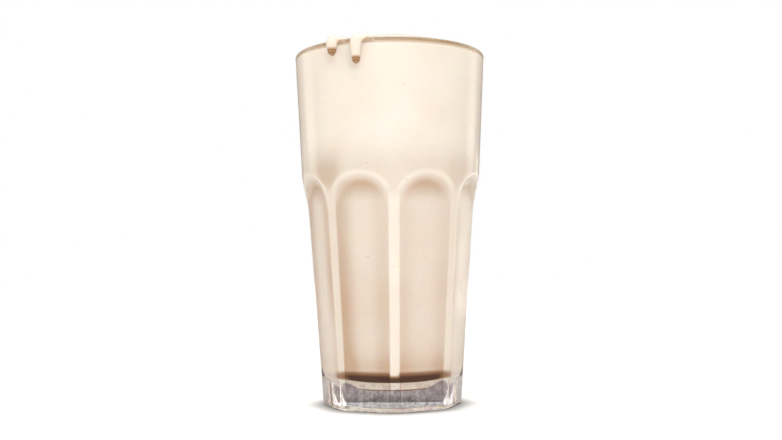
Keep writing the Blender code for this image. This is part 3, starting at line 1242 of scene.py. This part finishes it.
@dataclass(frozen=True)
class ShakeShading:
    """Painted shade on the shake: brown round its foot, a line round its dish, and its drips' edges and tips.

    Amounts are 0 for cream and 1 for brown. Spans are heights, radii, sines of the azimuth, or ways from the
    glass.
    """

    form: TumblerForm
    # Depth of the cream tone, with painted shade on the crown and drips and on the dish's flank.
    depth: float = 0.15
    outside_shade_depth: float = 0.30
    flank_shade_depth: float = 0.12
    # Painted light: the tone turns to cream on the floor of the dish.
    floor_light_height: Span = Span(15.0 * MM, 13.0 * MM)
    # Painted brown shade round the foot, lighter beside the ribs and at the sides.
    foot_height: Span = Span(18.5 * MM, 14.7 * MM)
    foot_radius: Span = Span(22.0 * MM, 23.2 * MM)
    foot_bend: float = 1.8 * MM
    foot_bend_turn: Span = Span(0.35, 0.95)
    beside: float = 0.92
    beside_turn: Span = Span(0.70, 0.93)
    rib: float = 0.85
    rib_angle: Span = Span(math.radians(18.2), math.radians(20.2))
    rib_height: Span = Span(14.4 * MM, 16.2 * MM)
    dish_height: Span = Span(30.0 * MM, 20.0 * MM)
    # Painted shade: a dark line round the dish.
    dish_shade_line: float = 0.8
    dish_line_outer: Span = Span(12.9 * MM, 11.9 * MM)
    dish_line_inner: Span = Span(8.6 * MM, 9.6 * MM)
    flank_outer: Span = Span(20.4 * MM, 19.6 * MM)
    flank_inner: Span = Span(13.0 * MM, 13.8 * MM)
    # Painted shade along the drips' edges, where they lie close to the glass.
    rim_shade_line: float = 0.22
    rim_line_way: Span = Span(0.75 * MM, 0.25 * MM)
    # Painted shade in stripes on the drips' tips.
    tip: float = 0.76
    tip_above: Span = Span(4.0 * MM, 2.2 * MM)
    stripe: float = 0.28
    stripe_pitch: float = 1.15 * MM
    drip_reach: float = math.radians(8)
    wet_above: Span = Span(-0.3 * MM, 0.3 * MM)
    wet_outside: Span = Span(-1.5 * MM, -0.5 * MM)

    def in_dish(self, radius: np.ndarray, height: np.ndarray, outer: Span, inner: Span) -> np.ndarray:
        """Marks a ring on the dish.

        Args:
            radius: Radii of the places.
            height: Their heights.
            outer: How the ring ends outwards.
            inner: How it ends inwards.

        Returns:
            1 on the ring, 0 off it.
        """
        return outer.at(radius) * inner.at(radius) * self.dish_height.at(height)

    def foot(self, azimuth: np.ndarray, radius: np.ndarray, height: np.ndarray) -> np.ndarray:
        """Gives the painted shade round the shake's foot, lighter behind the ribs that face an axis and at
        the sides.

        Args:
            azimuth: Azimuths of the places.
            radius: Their radii.
            height: Their heights.

        Returns:
            The painted shade.
        """
        sideways = np.abs(np.sin(azimuth))
        bent = radius - self.foot_bend * self.foot_bend_turn.at(sideways)
        brown = self.foot_height.at(height) * self.foot_radius.at(bent)
        rib = self.rib_angle.at(np.abs(self.form.panel_angle(azimuth))) * (1 - slanting(azimuth))
        brown = brown * (1 - self.beside * self.beside_turn.at(sideways))
        brown = brown * (1 - self.rib * rib * self.rib_height.at(height))
        ring = self.in_dish(radius, height, self.dish_line_outer, self.dish_line_inner)
        return np.maximum(brown, self.dish_shade_line * ring)

    def off_glass(self, radius: np.ndarray, height: np.ndarray) -> np.ndarray:
        """Gives how far places outside lie from the glass.

        Args:
            radius: Radii of the places.
            height: Their heights.

        Returns:
            The ways.
        """
        form = self.form
        over = np.hypot(radius - form.lip_middle, np.maximum(0.0, height - form.lip_level)) - form.lip_radius
        return np.where(height > form.lip_level, over, radius - form.round_radius(height))

    def tip_shade(self, drip: Drip, height: np.ndarray) -> np.ndarray:
        """Gives the striped painted shade on a drip's tip.

        Args:
            drip: The drip.
            height: Heights of the places.

        Returns:
            The painted shade.
        """
        tip = self.form.lip_level - drip.drop - (1 - TURN / 4) * self.form.lip_radius
        stripes = 1 - self.stripe + self.stripe * np.cos((height - tip) / self.stripe_pitch * TURN)
        return self.tip * stripes * self.tip_above.at(height - tip)


@dataclass
class Milkshake:
    """The shake: a fill that reaches just into the glass's wall, a crown, and drips over the lip."""

    form: TumblerForm
    crown: CrownForm
    drips: tuple[Drip, ...] = (
        Drip(math.radians(-36.5), 6.1 * MM, 4.3 * MM, 0.4 * MM, 2.7 * MM, 1.5 * MM, 2.3 * MM),
        Drip(math.radians(-21.2), 10.6 * MM, 4.7 * MM, 2.1 * MM, 2.6 * MM, 1.75 * MM, 2.2 * MM),
    )
    into_wall: float = 0.12 * MM
    into_lip: float = 0.25 * MM
    voxel: float = 0.38 * MM
    soften: int = 10
    crown_depth: float = 11.0 * MM
    crown_columns: int = 256
    crown_rows: int = 40
    crown_crowding: float = 0.8
    blank_depth: float = 3.0 * MM
    root: float = 9.0 * MM
    root_widening: float = 1.5
    sunk: float = 1.3 * MM
    narrows: Span = Span(-1.5 * MM, 4.0 * MM)
    tapers_from: float = 3.5 * MM
    tip_thickness: float = 0.35
    sides: int = 32
    stations: int = 48
    near_wall: float = 0.6 * MM
    trued_height: Span = Span(0.2 * MM, -0.9 * MM)
    arch_top: float = 112.0 * MM
    arch_foot: float = 80.0 * MM
    foot_top: float = 26.0 * MM
    corner_steps: int = 12

    @property
    def level(self) -> float:
        """Height at which the crown meets the wall of the glass."""
        return self.form.height - self.crown.below_lip

    @property
    def edge(self) -> float:
        """Radius of the shake where its crown begins."""
        return float(self.form.cavity_radius(self.level)) + self.into_wall

    @property
    def cut(self) -> float:
        """Height at which the crown's own mesh is joined to the turned fill."""
        return self.level - self.crown_depth

    def wall(self, height: Number) -> np.ndarray:
        """Gives the radius of the fill at a height."""
        return self.form.cavity_radius(height) + self.into_wall

    def surface(self, azimuth: np.ndarray, radius: np.ndarray) -> np.ndarray:
        """Gives the height of the crown over a place.

        Args:
            azimuth: Azimuths.
            radius: Radii, up to the crown's edge.

        Returns:
            The heights.
        """
        return self.level + self.crown.rise(azimuth, np.minimum(1.0, radius / self.edge))

    def crown_blank(self) -> bpy.types.Mesh:
        """Builds the crown as a closed blank that reaches below the cut.

        Returns:
            The mesh.
        """
        around = np.linspace(0, TURN, self.crown_columns + 1)[:-1]
        shares = np.sin(np.linspace(0, TURN / 4, self.crown_rows)[1:]) ** self.crown_crowding
        rings = [ring_at(around, self.edge * s, self.level + self.crown.rise(around, s)) for s in shares]
        deep = self.cut - self.blank_depth
        for height in np.linspace(self.level, deep, 14)[1:]:
            rings.append(ring_at(around, float(self.wall(height)), height))
        top = Vector((0, 0, self.level + self.crown.height))
        return skin("crown_blank", rings, top, Vector((0, 0, deep)))

    def path(self, way: float) -> tuple[float, float, float]:
        """Follows the surface under a drip.

        Args:
            way: Way past the top of the lip.

        Returns:
            Radius, height and lean there. Lean 0 faces up.
        """
        form = self.form
        reach = form.lip_radius - self.into_lip
        bend = TURN / 4 * form.lip_radius
        if way < 0:
            return form.lip_middle + way, form.height - self.into_lip, 0.0
        if way < bend:
            lean = way / form.lip_radius
            return form.lip_middle + reach * math.sin(lean), form.lip_level + reach * math.cos(lean), lean
        height = form.lip_level - (way - bend)
        return float(form.round_radius(height)) - self.into_lip, height, TURN / 4

    def drip_blank(self, number: int, drip: Drip) -> bpy.types.Mesh:
        """Lofts one drip through rounded sections, from its root in the crown to its tip.

        Args:
            number: Its number, for its name.
            drip: Its sizes.

        Returns:
            The mesh.
        """
        length = drip.drop + self.form.lip_radius
        turns = np.linspace(0, TURN, self.sides + 1)[:-1]
        rings = []
        for share in np.sin(np.linspace(0, TURN / 4, self.stations + 1)[:-1]):
            way = line(share, 0, 1, -self.root, length)
            fall = float(self.narrows.at(way))
            taper = float(ramp(way, self.tapers_from, length))
            root = drip.crossing * float(line(min(way, 0.0), -self.root, 0.0, self.root_widening, 1.0))
            width = root + (drip.body + (drip.tip - drip.body) * taper - root) * fall
            beyond = min(1.0, max(0.0, 1 - (length - way) / drip.tip))
            close = math.sqrt(1 - beyond * beyond)
            rounding = self.tip_thickness + (1 - self.tip_thickness) * close
            thick = (drip.thick + self.into_lip) * rounding
            radius, level, lean = self.path(way)
            across = width * close * np.cos(turns) + drip.offset * (1 - fall)
            rise = np.sin(turns) * np.where(np.sin(turns) > 0, thick, self.sunk)
            out = radius + rise * math.sin(lean)
            rings.append(np.stack([across, -out, level + rise * math.cos(lean)], axis=1))
        radius, level, _ = self.path(length)
        start = Vector(rings[0].mean(axis=0))
        mesh = skin(f"drip_{number}", rings, start, Vector((0, -radius - 0.2 * MM, level)))
        mesh.transform(Matrix.Rotation(drip.azimuth, 4, "Z"))
        return mesh

    def fused_crown(self) -> bmesh.types.BMesh:
        """Fuses the crown and the drips into one soft skin, and opens it at the cut.

        Returns:
            The skin, as a BMesh that the caller frees.
        """
        blank = bmesh.new()
        blank.from_mesh(self.crown_blank())
        for number, drip in enumerate(self.drips):
            blank.from_mesh(self.drip_blank(number, drip))
        mesh = bpy.data.meshes.new("crown_fused")
        blank.to_mesh(mesh)
        blank.free()
        rough = linked("crown_fused", mesh)
        remesh = rough.modifiers.new("fuse", "REMESH")
        remesh.mode = "VOXEL"
        remesh.voxel_size = self.voxel
        relax = rough.modifiers.new("relax", "SMOOTH")
        relax.factor = 0.5
        relax.iterations = self.soften
        graph = bpy.context.evaluated_depsgraph_get()
        shape = bmesh.new()
        shape.from_mesh(bpy.data.meshes.new_from_object(rough.evaluated_get(graph)))
        bpy.data.objects.remove(rough)
        everything = list(shape.verts) + list(shape.edges) + list(shape.faces)
        bmesh.ops.bisect_plane(
            shape, geom=everything, plane_co=(0, 0, self.cut), plane_no=(0, 0, 1), clear_inner=True
        )
        return shape

    def trued(self, shape: bmesh.types.BMesh) -> None:
        """Moves the skin's points that lie by the wall exactly onto it.

        Args:
            shape: The skin.
        """
        for vertex in shape.verts:
            x, y, height = vertex.co
            radius = math.hypot(x, y)
            true = float(self.wall(height))
            blend = float(self.trued_height.at(height - self.level))
            if blend > 0 and abs(radius - true) < self.near_wall:
                grow = 1 + (true / radius - 1) * blend
                vertex.co.x *= grow
                vertex.co.y *= grow

    def filled(self, shape: bmesh.types.BMesh) -> None:
        """Carries the skin from its open edge down the wall and across the floor.

        Args:
            shape: The skin.
        """
        rim = [v for v in shape.verts if abs(v.co.z - self.cut) < 1e-7 and v.is_boundary]
        rim.sort(key=lambda v: math.atan2(v.co.x, -v.co.y))
        around = np.array([math.atan2(v.co.x, -v.co.y) for v in rim])
        for vertex, azimuth in zip(rim, around):
            radius = float(self.wall(self.cut))
            vertex.co = (radius * math.sin(azimuth), -radius * math.cos(azimuth), self.cut)
        turn = self.form.cavity_floor + self.form.cavity_corner
        heights = np.concatenate([
            np.linspace(self.cut, self.arch_top, 12)[1:],
            np.linspace(self.arch_top, self.arch_foot, 54)[1:],
            np.linspace(self.arch_foot, self.foot_top, 16)[1:],
            np.linspace(self.foot_top, turn, 12)[1:-1],
        ])
        rows = [(float(self.wall(height)), height) for height in heights]
        rows += reversed(self.form.corner(self.into_wall, self.corner_steps))
        rows += reversed(self.form.floor_rows(self.into_wall, self.corner_steps))
        above = rim
        for radius, height in rows:
            below = [shape.verts.new(p) for p in ring_at(around, radius, height)]
            for i in range(len(rim)):
                j = (i + 1) % len(rim)
                shape.faces.new((above[i], above[j], below[j], below[i]))
            above = below
        centre = shape.verts.new((0, 0, self.form.dish_bottom - self.into_wall))
        for i in range(len(rim)):
            shape.faces.new((above[i], above[(i + 1) % len(rim)], centre))

    def paint(self, mesh: bpy.types.Mesh) -> None:
        """Stores the masks that the finish reads: how deep a tone is, how brown its painted shade is, and how
        wet.

        Args:
            mesh: The finished mesh.
        """
        form = self.form
        look = ShakeShading(form)
        azimuth, radius, height = cylinder_places(mesh)
        outside = (radius > form.lip_middle) & (radius > form.round_radius(height) - 1.0 * MM)
        # Painted shade along the drips' edges outside the glass.
        rim_shade_line = look.rim_shade_line * look.rim_line_way.at(look.off_glass(radius, height))
        # Painted brown shade round the foot inside the glass.
        shade = np.where(outside, rim_shade_line, look.foot(azimuth, radius, height))
        # Painted shade in stripes on each drip's tip.
        for drip in self.drips:
            near = outside & (np.abs(azimuth - drip.azimuth) < look.drip_reach)
            shade = np.where(near, np.maximum(shade, look.tip_shade(drip, height)), shade)
        # Painted shade on the dish's flank, painted light on its floor, and painted shade on the crown and
        # drips.
        flank = look.in_dish(radius, height, look.flank_outer, look.flank_inner)
        depth = look.depth * (1 - look.floor_light_height.at(height)) + look.flank_shade_depth * flank
        depth = np.where(outside | (height > self.level), look.outside_shade_depth, depth)
        wet_outside = look.wet_outside.at(radius - form.rim_radius)
        paint_mask(mesh, "depth", depth)
        paint_mask(mesh, "shade", shade)
        paint_mask(mesh, "wet", np.maximum(look.wet_above.at(height - self.level), wet_outside))

    def build(self, material: bpy.types.Material) -> bpy.types.Object:
        """Builds and dresses the shake.

        Args:
            material: Its finish.

        Returns:
            The piece.
        """
        shape = self.fused_crown()
        self.trued(shape)
        self.filled(shape)
        bmesh.ops.recalc_face_normals(shape, faces=shape.faces)
        mesh = smooth_mesh("shake", shape)
        self.paint(mesh)
        piece = linked("shake", mesh)
        settle(piece, Node.SHAKE, material)
        return piece


@dataclass
class Froth:
    """Small bubbles that lie on the crown, most of them by its edge."""

    shake: Milkshake
    count: int = 110
    smallest: float = 0.18 * MM
    largest: float = 0.62 * MM
    from_edge: float = 0.04
    spread: float = 0.55
    risen: float = 0.1
    seed: int = 11

    def build(self, material: bpy.types.Material) -> bpy.types.Object:
        """Builds and dresses the bubbles.

        Args:
            material: Their finish.

        Returns:
            The piece.
        """
        chance = np.random.default_rng(self.seed)
        shape = bmesh.new()
        for _ in range(self.count):
            azimuth = chance.uniform(0, TURN)
            radius = self.shake.edge * (1 - self.from_edge - self.spread * chance.beta(1.0, 4.0))
            size = self.smallest + (self.largest - self.smallest) * chance.beta(1.3, 3.0)
            surface = float(self.shake.surface(np.array(azimuth), np.array(radius)))
            height = surface + size * self.risen
            place = Matrix.Translation((radius * math.sin(azimuth), -radius * math.cos(azimuth), height))
            bmesh.ops.create_icosphere(shape, subdivisions=2, radius=size, matrix=place)
        piece = linked("froth", smooth_mesh("froth", shape))
        settle(piece, Node.SHAKE, material)
        return piece


@dataclass
class Dew:
    """Sparse drops of water that have formed on the outside of the cold glass."""

    form: TumblerForm
    count: int = 170
    smallest: float = 0.14 * MM
    largest: float = 0.42 * MM
    flatness: float = 0.5
    lowest: float = 18.0 * MM
    highest: float = 150.0 * MM
    seed: int = 5

    def drop(self, shape: bmesh.types.BMesh, azimuth: float, height: float, size: float) -> None:
        """Adds one drop, seated a little into the glass.

        Args:
            shape: Where it is added.
            azimuth: Its azimuth.
            height: Its height.
            size: Its radius.
        """
        step = 0.2 * MM

        def at(a: float, h: float) -> Vector:
            """Gives the point of the glass's wall at an azimuth and height."""
            radius = float(self.form.outer_radius(np.array(a), h))
            return Vector((radius * math.sin(a), -radius * math.cos(a), h))

        here = at(azimuth, height)
        beside = at(azimuth + step / here.xy.length, height) - here
        above = at(azimuth, height + step) - here
        out = beside.cross(above).normalized()
        turn = out.to_track_quat("Z", "Y").to_matrix().to_4x4()
        flat = Matrix.Diagonal((1.0, 1.0, self.flatness, 1.0))
        place = Matrix.Translation(here) @ turn @ flat
        bmesh.ops.create_icosphere(shape, subdivisions=2, radius=size, matrix=place)

    def build(self, material: bpy.types.Material) -> bpy.types.Object:
        """Builds and dresses the drops.

        Args:
            material: Their finish.

        Returns:
            The piece.
        """
        chance = np.random.default_rng(self.seed)
        shape = bmesh.new()
        for _ in range(self.count):
            azimuth = chance.uniform(0, TURN)
            height = chance.uniform(self.lowest, self.highest)
            size = self.smallest + (self.largest - self.smallest) * chance.beta(1.2, 3.5)
            self.drop(shape, azimuth, height, size)
        piece = linked("dew", smooth_mesh("dew", shape))
        settle(piece, Node.GLASS, material)
        return piece


@dataclass(frozen=True)
class SoftBox:
    """A soft studio lamp that stands round the glass and shines at it."""

    name: str
    azimuth: float
    elevation: float
    distance: float
    width: float
    tall: float
    power: float
    colour: tuple[float, float, float] = (1.0, 1.0, 1.0)
    mirrored: bool = True
    aim: float = 85 * MM
    spread: float = math.pi

    def build(self) -> bpy.types.Object:
        """Builds the lamp.

        Returns:
            The lamp.
        """
        lamp = bpy.data.lights.new(self.name, "AREA")
        lamp.shape = "RECTANGLE"
        lamp.size = self.width
        lamp.size_y = self.tall
        lamp.energy = self.power
        lamp.color = self.colour
        lamp.spread = self.spread
        made = bpy.data.objects.new(self.name, lamp)
        made.visible_glossy = self.mirrored
        bpy.context.scene.collection.objects.link(made)
        out = Vector((
            math.sin(self.azimuth) * math.cos(self.elevation),
            -math.cos(self.azimuth) * math.cos(self.elevation),
            math.sin(self.elevation),
        ))
        target = Vector((0, 0, self.aim))
        place = target + out * self.distance
        made.matrix_world = Matrix.Translation(place) @ out.to_track_quat("Z", "Y").to_matrix().to_4x4()
        return made


@dataclass
class Studio:
    """The pale floor, the soft light and the camera."""

    focal_length: float = 45.44
    distance: float = 460 * MM
    eye: float = 64 * MM
    azimuth: float = math.radians(-1.95)
    pitch: float = math.radians(2.6)
    roll: float = math.radians(-0.51)
    floor_size: float = 6.0
    floor_sunk: float = 0.05 * MM
    surround: Colour = (0.20, 0.185, 0.18, 1.0)
    backdrop: Colour = (0.60, 0.58, 0.58, 1.0)
    fill: Colour = (0.37, 0.34, 0.30, 1.0)
    overhead: float = 1.7

    def camera(self) -> bpy.types.Object:
        """Builds the camera at the photograph's viewing angle.

        Returns:
            The camera.
        """
        data = bpy.data.cameras.new("camera")
        data.sensor_width = 36.0
        data.lens = self.focal_length
        made = bpy.data.objects.new("camera", data)
        bpy.context.scene.collection.objects.link(made)
        out = Vector((math.sin(self.azimuth), -math.cos(self.azimuth), 0.0))
        look = -out + Vector((0, 0, math.tan(self.pitch)))
        turn = look.to_track_quat("-Z", "Y").to_matrix() @ Matrix.Rotation(self.roll, 3, "Z")
        place = out * self.distance + Vector((0, 0, self.eye))
        made.matrix_world = Matrix.Translation(place) @ turn.to_4x4()
        bpy.context.scene.camera = made
        return made

    def floor(self) -> bpy.types.Object:
        """Builds the floor.

        Returns:
            The floor.
        """
        shape = bmesh.new()
        bmesh.ops.create_grid(shape, x_segments=8, y_segments=8, size=self.floor_size / 2)
        mesh = bpy.data.meshes.new("floor")
        shape.to_mesh(mesh)
        shape.free()
        mesh.materials.append(PaperFinish().make())
        made = linked("floor", mesh)
        made.location.z = -self.floor_sunk
        return made

    def lamps(self) -> list[bpy.types.Object]:
        """Builds the lamps: a key in front, and on each side strips that the glass mirrors and two fills.

        Returns:
            The lamps.
        """
        key = SoftBox(
            "key",
            azimuth=math.radians(-1),
            elevation=math.radians(24),
            distance=0.9,
            width=0.9,
            tall=0.7,
            power=5.1,
            mirrored=False,
        )
        boxes = [key]
        for side in Beside:
            name = side.name.lower()
            on_left = side is Beside.LEFT
            strip = SoftBox(
                f"strip_{name}",
                azimuth=side.value * math.radians(117),
                elevation=math.radians(8),
                distance=0.55,
                width=0.20,
                tall=0.75,
                power=0.60 if on_left else 0.66,
                colour=(1.0, 0.95, 0.87),
            )
            facet = SoftBox(
                f"facet_{name}",
                azimuth=side.value * math.radians(142),
                elevation=math.radians(2),
                distance=0.5,
                width=0.14,
                tall=0.22,
                power=0.075 if on_left else 0.115,
                colour=(1.0, 0.96, 0.90),
                aim=30 * MM,
            )
            fill = SoftBox(
                f"fill_{name}",
                azimuth=side.value * math.radians(78),
                elevation=math.radians(22 if on_left else 8),
                distance=0.8,
                width=0.4,
                tall=0.6,
                power=0.95 if on_left else 0.75,
                colour=(1.0, 0.93, 0.83),
                mirrored=False,
            )
            low_fill = SoftBox(
                f"low_fill_{name}",
                azimuth=side.value * math.radians(72),
                elevation=math.radians(2),
                distance=0.45,
                width=0.25,
                tall=0.05,
                power=0.003 if on_left else 0.007,
                colour=(1.0, 0.95, 0.88),
                mirrored=False,
                aim=45 * MM,
                spread=math.radians(24),
            )
            boxes += [strip, facet, fill, low_fill]
        return [box.build() for box in boxes] + [self.sun()]

    def sun(self) -> bpy.types.Object:
        """Builds the broad light overhead, which lights the floor evenly.

        Returns:
            The lamp.
        """
        lamp = bpy.data.lights.new("overhead", "SUN")
        lamp.energy = self.overhead
        lamp.angle = math.radians(70)
        made = bpy.data.objects.new("overhead", lamp)
        bpy.context.scene.collection.objects.link(made)
        return made

    def world(self) -> None:
        """Makes the surroundings: white to the camera, and a dimmer room that the glass shows and mirrors."""
        world = bpy.data.worlds.new("studio")
        bpy.context.scene.world = world
        world.use_nodes = True
        bench = Bench(world.node_tree)
        background = world.node_tree.nodes["Background"]
        path = bench.add("ShaderNodeLightPath")
        room = bench.blend(path.outputs["Is Transmission Ray"], self.surround, self.backdrop)
        room = bench.blend(path.outputs["Is Diffuse Ray"], room, self.fill)
        colour = bench.blend(path.outputs["Is Camera Ray"], room, WHITE)
        bench.tree.links.new(colour, background.inputs["Color"])

    def build(self) -> None:
        """Builds the studio."""
        self.camera()
        self.floor()
        self.lamps()
        self.world()
        bpy.context.scene.view_settings.view_transform = "Standard"


def main() -> None:
    """Builds the milkshake and its studio."""
    logging.basicConfig(level=logging.INFO, format="%(name)s: %(message)s")
    form = TumblerForm()
    mottle = MottleGroup()
    shake = Milkshake(form, CrownForm())
    Tumbler(form).build(PressedGlassFinish().make())
    shake.build(ShakeFinish().make(mottle))
    Froth(shake).build(FrothFinish().make(mottle))
    Dew(form).build(DewFinish().make())
    Studio().build()


if __name__ == "__main__":
    main()
